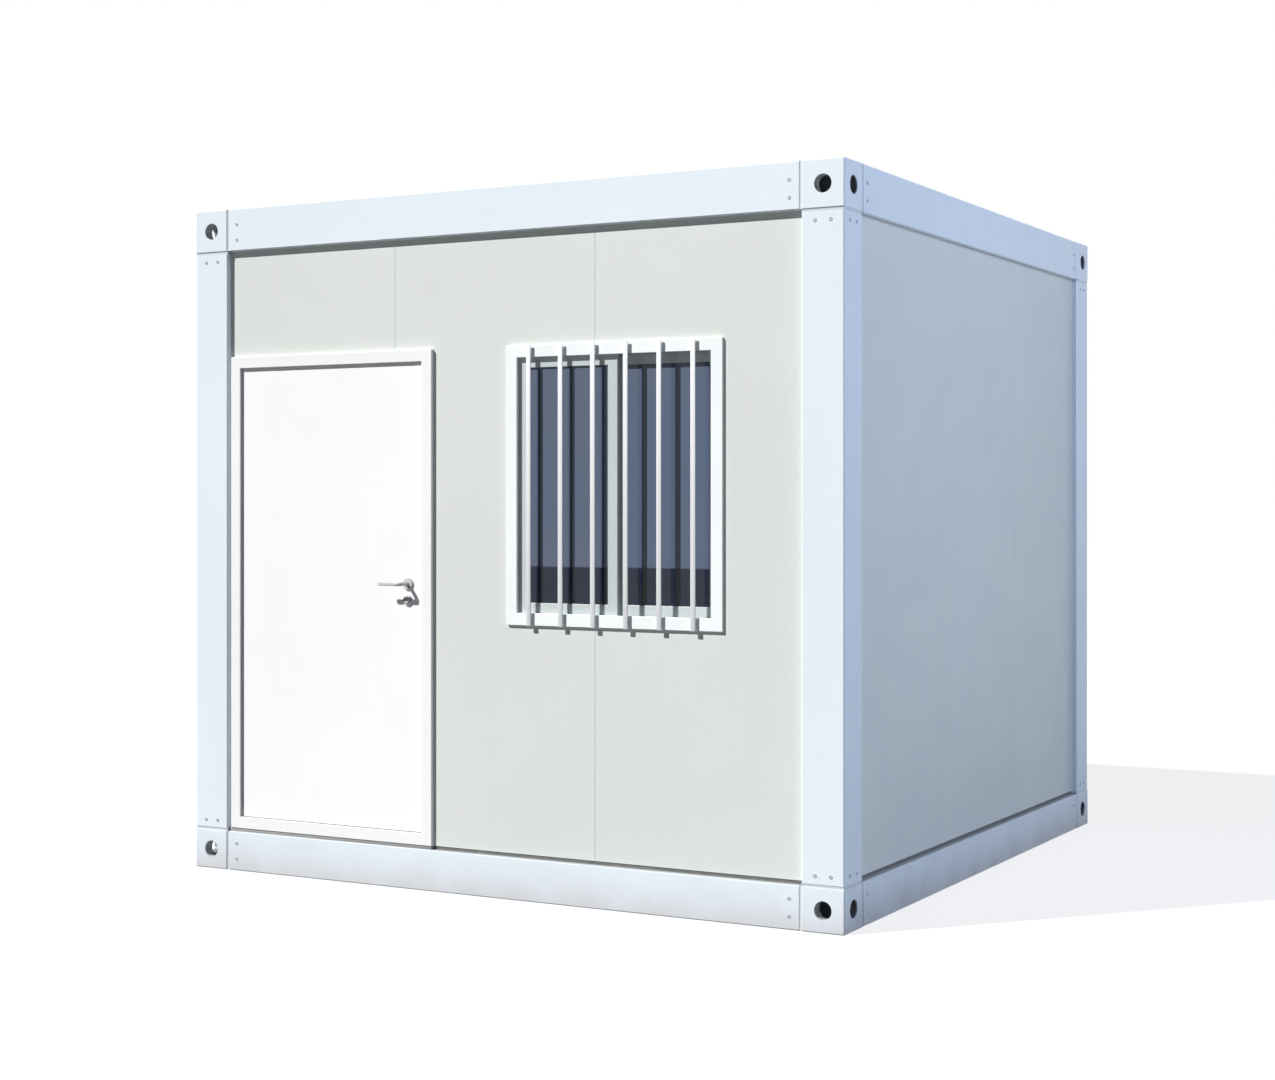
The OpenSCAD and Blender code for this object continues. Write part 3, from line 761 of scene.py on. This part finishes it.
def roof_screws(finish):
    """Screws with washers through the valleys of the roof sheet into the purlins."""
    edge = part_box("roof_sheet")[1]
    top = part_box("roof_purlins")[1].z + ROOF_SHEET_T
    outline = [
        (0, 0), (ROOF_SCREW_R, 0), (ROOF_SCREW_R, WASHER_T), (ROOF_SCREW_HEAD_R, WASHER_T),
        (ROOF_SCREW_HEAD_R, ROOF_SCREW_H), (0, ROOF_SCREW_H),
    ]
    rows = math.floor((edge.y - ROOF_EDGE) / PURLIN_PITCH)
    valleys = math.floor(edge.x / RIB_PITCH)
    places = [
        Matrix.Translation(((valley + 0.5) * RIB_PITCH, row * PURLIN_PITCH, top))
        for row in range(-rows, rows + 1)
        for valley in range(-valleys, valleys)
    ]
    screws = repeat(lathe(outline, steps=HEXAGON), places)
    make_piece(screws, "roof_screws", finish, "house")


def window_bars(finish):
    """Flat upright bars in front of the window, each held by two pegs on the trim."""
    low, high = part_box("window_frame")
    back = low.y - BAR_STAND_OFF
    bar = bmesh.new()
    bevelled_box(
        bar, (-BAR_W / 2, back - BAR_T, low.z - BAR_PAST_TRIM),
        (BAR_W / 2, back, high.z + BAR_PAST_TRIM), BAR_EDGE,
    )
    peg_end = BAR_STAND_OFF + BAR_T / 2
    peg = [(0, 0), (PEG_R, 0), (PEG_R, peg_end), (0, peg_end)]
    for z in (low.z + TRIM_W / 2, high.z - TRIM_W / 2):
        join(bar, lathe(peg, facing((0, low.y, z), (0, -1, 0))))
    first = (low.x + high.x) / 2 + BAR_SHIFT - BAR_PITCH * (BAR_COUNT - 1) / 2
    places = [Matrix.Translation((first + i * BAR_PITCH, 0, 0)) for i in range(BAR_COUNT)]
    make_piece(repeat(bar, places), "window_bars", finish, "house")


def glazing_beads(finish):
    """Rubber beads round both panes, on both faces of the glass."""
    inset = Vector((PANE_IN, 0, PANE_IN))
    for side in ("left", "right"):
        pane_low, pane_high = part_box(f"window_glass_{side}")
        bm = bmesh.new()
        for y in (pane_low.y - BEAD_T, pane_high.y):
            low = Vector((pane_low.x, y, pane_low.z)) + inset
            high = Vector((pane_high.x, y, pane_high.z)) - inset
            upright_ring(bm, low, high, BEAD_W, BEAD_T)
        make_piece(bm, f"glazing_beads_{side}", finish, "house")


def door_handle(finish):
    """Levers on both faces of the door, bent from one round bar and flattened at the grip."""
    axis = joint_place("handle_turn")
    leaf_low, leaf_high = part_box("door_leaf")
    middle = (leaf_low.y + leaf_high.y) / 2
    bend_y = leaf_low.y - LEVER_REACH + LEVER_BEND
    bm = bmesh.new()
    start = Matrix.Translation((axis.x, middle, axis.z)) @ Matrix.Rotation(math.pi / 2, 4, "X")
    bmesh.ops.create_circle(bm, cap_ends=False, segments=LEVER_STEPS, radius=LEVER_R, matrix=start)
    rim = push_ring(bm, bm.edges[:], (0, bend_y - middle, 0))
    turned = bmesh.ops.spin(
        bm, geom=rim, cent=(axis.x - LEVER_BEND, bend_y, axis.z), axis=(0, 0, 1), dvec=(0, 0, 0),
        angle=-math.pi / 2, steps=BEND_STEPS, use_merge=False, use_duplicate=False,
    )["geom_last"]
    rim = [e for e in turned if isinstance(e, bmesh.types.BMEdge)]
    grip = LEVER_BEND - LEVER_LENGTH
    rim = push_ring(bm, rim, (grip * GRIP_START, 0, 0))
    flatten_ring(rim, GRIP_HALF_T, GRIP_HALF_H, GRIP_POWER)
    for share, deep, tall in GRIP_RINGS:
        rim = push_ring(bm, rim, (grip * share, 0, 0), (1, deep, tall))
    bmesh.ops.edgeloop_fill(bm, edges=rim)
    bmesh.ops.mirror(
        bm, geom=bm.verts[:] + bm.edges[:] + bm.faces[:], matrix=Matrix.Translation((0, -middle, 0)),
        merge_dist=MIRROR_CLOSE, axis="Y",
    )
    piece = make_piece(bm, "lever_handle", finish, "handle", LEVER_SHARP_TURN)
    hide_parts("door_handle")


def rose_outline(radius, inner):
    """Foot, rounded edge and face of a rose, from its middle or bore to its inner edge."""
    return [
        (inner, 0), (radius, 0), (radius, ROSE_SIDE_H), (radius - ROSE_LIP, ROSE_LIP_H),
        (radius - ROSE_EDGE, ROSE_T),
    ]


def door_roses(finish):
    """Lever roses and lock roses on both faces, a keyed cylinder outside and a turn knob inside."""
    axis = joint_place("handle_turn")
    leaf_low, leaf_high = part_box("door_leaf")
    lock_z = axis.z - LOCK_DROP
    bore = LEVER_R + ROSE_CLEARANCE
    collar_z = ROSE_T + COLLAR_H
    rose = rose_outline(ROSE_R, bore) + [
        (bore + ROSE_EDGE, ROSE_T), (bore + COLLAR_W, collar_z), (bore, collar_z),
    ]
    top = ROSE_T + LOCK_OUT
    lock = rose_outline(LOCK_ROSE_R, 0) + [
        (LOCK_R + LOCK_EDGE, ROSE_T), (LOCK_R, ROSE_T - LOCK_EDGE), (LOCK_R, top - LOCK_EDGE),
        (LOCK_R - LOCK_EDGE, top), (0, top),
    ]
    bm = bmesh.new()
    for y, outward in ((leaf_low.y, (0, -1, 0)), (leaf_high.y, (0, 1, 0))):
        join(bm, lathe(rose, facing((axis.x, y, axis.z), outward)))
        join(bm, lathe(lock, facing((axis.x, y, lock_z), outward)))
    knob_y = leaf_high.y + top
    bevelled_box(
        bm, (axis.x - KNOB_HALF_T, knob_y - KNOB_IN, lock_z - KNOB_HALF),
        (axis.x + KNOB_HALF_T, knob_y + KNOB_HALF, lock_z + KNOB_HALF), KNOB_EDGE,
    )
    piece = make_piece(bm, "handle_roses", finish, "door")
    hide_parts("door_roses")


def key_slot(finish):
    """Dark slot in the face of the outer lock cylinder."""
    axis = joint_place("handle_turn")
    lock_z = axis.z - LOCK_DROP
    face_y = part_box("door_leaf")[0].y - ROSE_T - LOCK_OUT
    bm = bmesh.new()
    bevelled_box(
        bm, (axis.x - KEY_SLOT_HALF_W, face_y - KEY_SLOT_OUT, lock_z - KEY_SLOT_HALF_H),
        (axis.x + KEY_SLOT_HALF_W, face_y + KEY_SLOT_IN, lock_z + KEY_SLOT_HALF_H), KEY_SLOT_EDGE,
    )
    make_piece(bm, "key_slot", finish, "door")


def latch_plate(finish):
    """Face plate with the latch tongue, on the edge of the leaf."""
    level = joint_place("handle_turn").z
    leaf_low, leaf_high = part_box("door_leaf")
    middle = (leaf_low.y + leaf_high.y) / 2
    back = leaf_high.x - LATCH_PLATE_IN
    bm = bmesh.new()
    bevelled_box(
        bm, (back, middle - LATCH_PLATE_HALF_W, level - LATCH_PLATE_DOWN),
        (leaf_high.x + LATCH_PLATE_OUT, middle + LATCH_PLATE_HALF_W, level + LATCH_PLATE_UP),
        LATCH_PLATE_EDGE,
    )
    bevelled_box(
        bm, (back, middle - LATCH_HALF_W, level - LATCH_HALF_H),
        (leaf_high.x + LATCH_OUT, middle + LATCH_HALF_W, level + LATCH_HALF_H), LATCH_EDGE,
    )
    make_piece(bm, "latch_plate", finish, "door")


def strike_plate(finish):
    """Plate with an opening for the latch, on the door frame."""
    leaf_low, leaf_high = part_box("door_leaf")
    middle = (leaf_low.y + leaf_high.y) / 2
    half = Vector((STRIKE_HALF_W, 0, STRIKE_HALF_H))
    bm = bmesh.new()
    upright_ring(bm, -half, half, STRIKE_RIM, STRIKE_T)
    face_x = leaf_high.x + DOOR_GAP - STRIKE_T
    place = Matrix.Translation((face_x, middle, joint_place("handle_turn").z))
    turn = Matrix.Rotation(-math.pi / 2, 4, "Z")
    bmesh.ops.transform(bm, matrix=place @ turn, verts=bm.verts[:])
    make_piece(bm, "strike_plate", finish, "house")


def door_gasket(finish):
    """Rubber gasket on the stop lip behind which the leaf closes, and a strip that shows at the foot."""
    leaf_low, leaf_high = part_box("door_leaf")
    y = leaf_low.y - DOOR_STOP_GAP
    low = Vector((leaf_low.x + GASKET_IN, y, leaf_low.z + GASKET_IN))
    high = Vector((leaf_high.x - GASKET_IN, y, leaf_high.z - GASKET_IN))
    bm = bmesh.new()
    upright_ring(bm, low, high, GASKET_W, GASKET_T)
    sill = leaf_low.z + DOOR_LIP_OVERLAP
    bevelled_box(
        bm, (leaf_low.x + DOOR_LIP_OVERLAP, y, sill - FOOT_SEAL_H),
        (leaf_high.x - DOOR_LIP_OVERLAP, y + GASKET_T, sill + FOOT_SEAL_SHOWS), FOOT_SEAL_EDGE,
    )
    make_piece(bm, "door_gasket", finish, "house")


def door_sill(finish):
    """Rubber strip between the foot of the door frame and the base beam."""
    low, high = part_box("door_frame")
    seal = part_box("wall_base_seals")[0]
    bm = bmesh.new()
    bevelled_box(
        bm, (low.x + SILL_IN, low.y + SILL_BACK, seal.z), (high.x - SILL_IN, seal.y, low.z), SILL_EDGE,
    )
    make_piece(bm, "door_sill", finish, "house")


def hinge_screws(finish):
    """Screws through the plates of the three hinges, on the room side."""
    pin = joint_place("door_swing")
    leaf_low, leaf_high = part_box("door_leaf")
    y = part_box("front_panel_middle")[1].y + HINGE_PLATE_T
    levels = (leaf_low.z + HINGE_END, (leaf_low.z + leaf_high.z) / 2, leaf_high.z - HINGE_END)
    halves = (
        ("hinge_screws_frame", "house", -HINGE_SCREW_X, FRAME_SCREW_HALF),
        ("hinge_screws_leaf", "door", HINGE_SCREW_X, LEAF_SCREW_HALF),
    )
    for name, body, beside, apart in halves:
        places = [
            facing((pin.x + beside, y, level + up), (0, 1, 0))
            for level in levels
            for up in (-apart, apart)
        ]
        screws = repeat(round_head(HINGE_SCREW_R, HINGE_SCREW_H, HINGE_SCREW_RIM), places)
        make_piece(screws, name, finish, body)


def soften_edges(names, width):
    """Rounds the edges of CAD nodes, whose triangles are first joined to whole faces."""
    for name in names:
        weld = NODES[name].modifiers.new("joined_triangles", "WELD")
        weld.merge_threshold = WELD_CLOSE
        flat = NODES[name].modifiers.new("whole_faces", "DECIMATE")
        flat.decimate_type = "DISSOLVE"
        flat.angle_limit = math.radians(FLAT_TO_TURN)
        bevel = NODES[name].modifiers.new("round_edges", "BEVEL")
        bevel.width = width
        bevel.segments = ROUND_STEPS
        bevel.limit_method = "ANGLE"
        bevel.angle_limit = math.radians(ROUND_FROM_TURN)


def dress_node(name, finish):
    """Gives a CAD node its finish."""
    mesh = NODES[name].data
    mesh.materials.clear()
    mesh.materials.append(finish)


def make_camera():
    """Camera at the photograph's viewpoint."""
    data = bpy.data.cameras.new("camera")
    data.sensor_fit = "HORIZONTAL"
    data.sensor_width = SENSOR_W
    data.lens = FOCAL_PX / IMAGE_W * SENSOR_W
    data.shift_x = (IMAGE_W / 2 - CENTRE_PX[0]) / IMAGE_W
    data.shift_y = (CENTRE_PX[1] - IMAGE_H / 2) / IMAGE_W
    data.clip_end = CAMERA_FAR
    camera = bpy.data.objects.new("camera", data)
    camera.location = CAMERA_AT
    camera.rotation_euler = (math.pi / 2, 0, math.radians(CAMERA_TURN))
    bpy.context.collection.objects.link(camera)
    bpy.context.scene.camera = camera


def make_lamp(name, kind, at, travel, energy, colour, **settings):
    """A lamp at a point that shines along travel."""
    data = bpy.data.lights.new(name, kind)
    data.energy = energy
    data.color = colour
    for key, value in settings.items():
        setattr(data, key, value)
    lamp = bpy.data.objects.new(name, data)
    lamp.location = at
    lamp.rotation_mode = "QUATERNION"
    lamp.rotation_quaternion = Vector(travel).to_track_quat("-Z", "Y")
    bpy.context.collection.objects.link(lamp)


def make_lamps():
    """Key from the front left, cool fill on the right and a weak fill behind."""
    make_lamp(
        "key_light", "SUN", KEY_AT, KEY_TRAVEL, KEY_STRENGTH, KEY_COLOUR,
        angle=math.radians(KEY_ANGLE),
    )
    fills = (
        ("right", RIGHT_FILL_AT, RIGHT_FILL_TRAVEL, RIGHT_FILL_W, RIGHT_FILL_COLOUR, RIGHT_FILL_SIZE),
        ("rear", REAR_FILL_AT, REAR_FILL_TRAVEL, REAR_FILL_W, REAR_FILL_COLOUR, REAR_FILL_SIZE),
    )
    for side, at, travel, watts, colour, (wide, high) in fills:
        name = f"{side}_fill"
        make_lamp(name, "AREA", at, travel, watts, colour, shape="RECTANGLE", size=wide, size_y=high)


def seen_directly(tree):
    """1 for rays from the camera, mirrors and glass, and 0 for the rays that light the object."""
    path = tree.nodes.new("ShaderNodeLightPath")
    seen = path.outputs["Is Camera Ray"]
    for name in ("Is Glossy Ray", "Is Transmission Ray"):
        either = tree.nodes.new("ShaderNodeMath")
        either.operation = "MAXIMUM"
        tree.links.new(seen, either.inputs[0])
        tree.links.new(path.outputs[name], either.inputs[1])
        seen = either.outputs[0]
    return seen


def mixed(tree, share, first, second):
    """A mix of two shaders by a share."""
    mix = tree.nodes.new("ShaderNodeMixShader")
    if isinstance(share, bpy.types.NodeSocket):
        tree.links.new(share, mix.inputs[0])
    else:
        mix.inputs[0].default_value = share
    tree.links.new(first, mix.inputs[1])
    tree.links.new(second, mix.inputs[2])
    return mix.outputs[0]


def coloured(tree, kind, colour):
    """A plain shader of one colour."""
    shader = tree.nodes.new(kind)
    shader.inputs["Color"].default_value = rgba(colour)
    return shader.outputs[0]


def make_sky():
    """Dim cool sky that is plain white where it is seen."""
    world = bpy.data.worlds.new("studio")
    world.use_nodes = True
    tree = world.node_tree
    tree.nodes.clear()
    dim = coloured(tree, "ShaderNodeBackground", SKY_COLOUR)
    white = coloured(tree, "ShaderNodeBackground", (1, 1, 1))
    output = tree.nodes.new("ShaderNodeOutputWorld")
    tree.links.new(mixed(tree, seen_directly(tree), dim, white), output.inputs[0])
    bpy.context.scene.world = world


def make_floor():
    """Plain pale floor that is nearly white where it is seen and keeps the shadow."""
    bm = bmesh.new()
    bmesh.ops.create_grid(bm, x_segments=1, y_segments=1, size=FLOOR_HALF)
    mesh = bpy.data.meshes.new("floor")
    bm.to_mesh(mesh)
    bm.free()
    material = bpy.data.materials.new("floor")
    material.use_nodes = True
    tree = material.node_tree
    tree.nodes.clear()
    grey = coloured(tree, "ShaderNodeBsdfDiffuse", (FLOOR_TONE,) * 3)
    pale = coloured(tree, "ShaderNodeBsdfDiffuse", (FLOOR_SEEN_TONE,) * 3)
    white = coloured(tree, "ShaderNodeEmission", (1, 1, 1))
    seen = mixed(tree, FLOOR_FADE, pale, white)
    output = tree.nodes.new("ShaderNodeOutputMaterial")
    tree.links.new(mixed(tree, seen_directly(tree), grey, seen), output.inputs[0])
    mesh.materials.append(material)
    floor = bpy.data.objects.new("floor", mesh)
    bpy.context.collection.objects.link(floor)


def make_finishes():
    """One finish for each material slot of the record, then those of single pieces."""
    return {
        "frame_paint": frame_paint(),
        "panel_paint": wall_paint("panel_paint", (0.665, 0.69, 0.665)),
        "door_paint": plain_paint("door_paint", (0.915, 0.905, 0.925), 0.34, 0.3 * MM),
        "ceiling_paint": wall_paint("ceiling_paint", (0.78, 0.79, 0.79)),
        "roof_paint": plain_paint("roof_paint", (0.55, 0.60, 0.65), 0.5, 0.4 * MM),
        "galvanised_steel": galvanised_steel("galvanised_steel", (0.52, 0.54, 0.56), 9 * MM),
        "hinge_steel": brushed_metal("hinge_steel", (0.5, 0.51, 0.52), 0.9, 0.36, (400, 400, 20)),
        "handle_metal": brushed_metal("handle_metal", (0.56, 0.56, 0.57), 0.0, 0.5, (30, 900, 900)),
        "floor_board": floor_laminate(),
        "seal_rubber": seal_rubber("seal_rubber", 0.12, 0.24),
        "window_plastic": window_plastic("window_plastic", (0.87, 0.905, 0.92)),
        "window_glass": window_glass(),
        "sash_plastic": window_plastic("sash_plastic", (0.52, 0.58, 0.58)),
        "door_frame_paint": plain_paint("door_frame_paint", (0.86, 0.865, 0.865), 0.36, 0.2 * MM),
        "sill_rubber": seal_rubber("sill_rubber", 0.27, 0.36),
        "bolt_zinc": zinc_plate(),
        "bar_paint": bar_paint(),
    }


def main():
    """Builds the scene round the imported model."""
    bpy.context.scene.view_settings.view_transform = "Standard"
    make_camera()
    make_lamps()
    make_sky()
    make_floor()
    finishes = make_finishes()
    for part in frame["record"]["subparts"]:
        name = part["node"]
        dress_node(name, finishes[OWN_FINISHES.get(name, part["material_slot"])])
    soften_edges(("door_frame", "window_frame"), FRAME_ROUND)
    soften_edges(("door_leaf", *SASHES), LEAF_ROUND)
    frame_bolts(finishes["bolt_zinc"])
    roof_screws(finishes["bolt_zinc"])
    window_bars(finishes["bar_paint"])
    glazing_beads(finishes["seal_rubber"])
    door_handle(finishes["handle_metal"])
    door_roses(finishes["handle_metal"])
    key_slot(finishes["seal_rubber"])
    latch_plate(finishes["hinge_steel"])
    strike_plate(finishes["hinge_steel"])
    door_gasket(finishes["seal_rubber"])
    door_sill(finishes["sill_rubber"])
    hinge_screws(finishes["hinge_steel"])


main()
